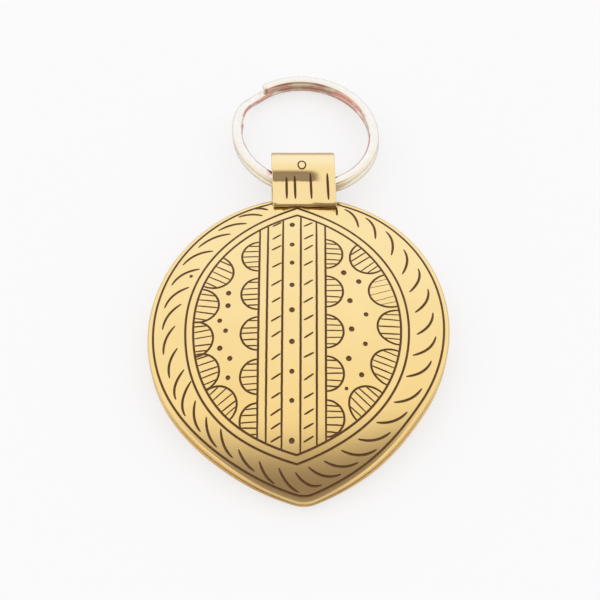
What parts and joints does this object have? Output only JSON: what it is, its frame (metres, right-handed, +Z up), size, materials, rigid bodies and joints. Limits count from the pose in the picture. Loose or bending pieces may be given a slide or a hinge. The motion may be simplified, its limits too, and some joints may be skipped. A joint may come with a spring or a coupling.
{
  "type": "amulet box",
  "caption": "Shallow leaf-shaped brass amulet box: a domed engraved front lifts off a slip-fit back, and a folded strap hangs it on a split ring that swings.",
  "frame": {"origin": "on the table, under the centre of the round part of the leaf, in the middle of the flat back", "axes": "+Z up, out of the engraved face; +Y towards the hanger and the ring; +X to the right of the face"},
  "size_m": [0.0476, 0.077, 0.0077],
  "materials": {
    "engraved_brass": "polished by hand, with dark patina in the engraved lines",
    "plain_brass": "polished sheet with fine scratches",
    "nickel_plate": "bright nickel plate on spring steel",
    "folded_paper": "handmade paper, folded and worn",
    "red_thread": "twisted cotton"
  },
  "bodies": {
    "back": {"back_plate": "plain_brass", "back_collar": "plain_brass", "prayer_packet": "folded_paper", "binding_thread": "red_thread"},
    "front": {"front_plate": "engraved_brass", "side_wall": "plain_brass", "hanger_strap": "engraved_brass"},
    "ring": {"split_ring": "nickel_plate"}
  },
  "joints": [
    {"name": "lid_lift", "type": "slide", "parent": "back", "child": "front", "axis": [0, 0, 1], "range_m": [0, 0.008]},
    {"name": "ring_swing", "type": "hinge", "parent": "front", "child": "ring", "pos_m": [0.001, 0.02599, 0.00384], "axis": [1, 0, 0], "range_deg": [-95, 160]}
  ]
}
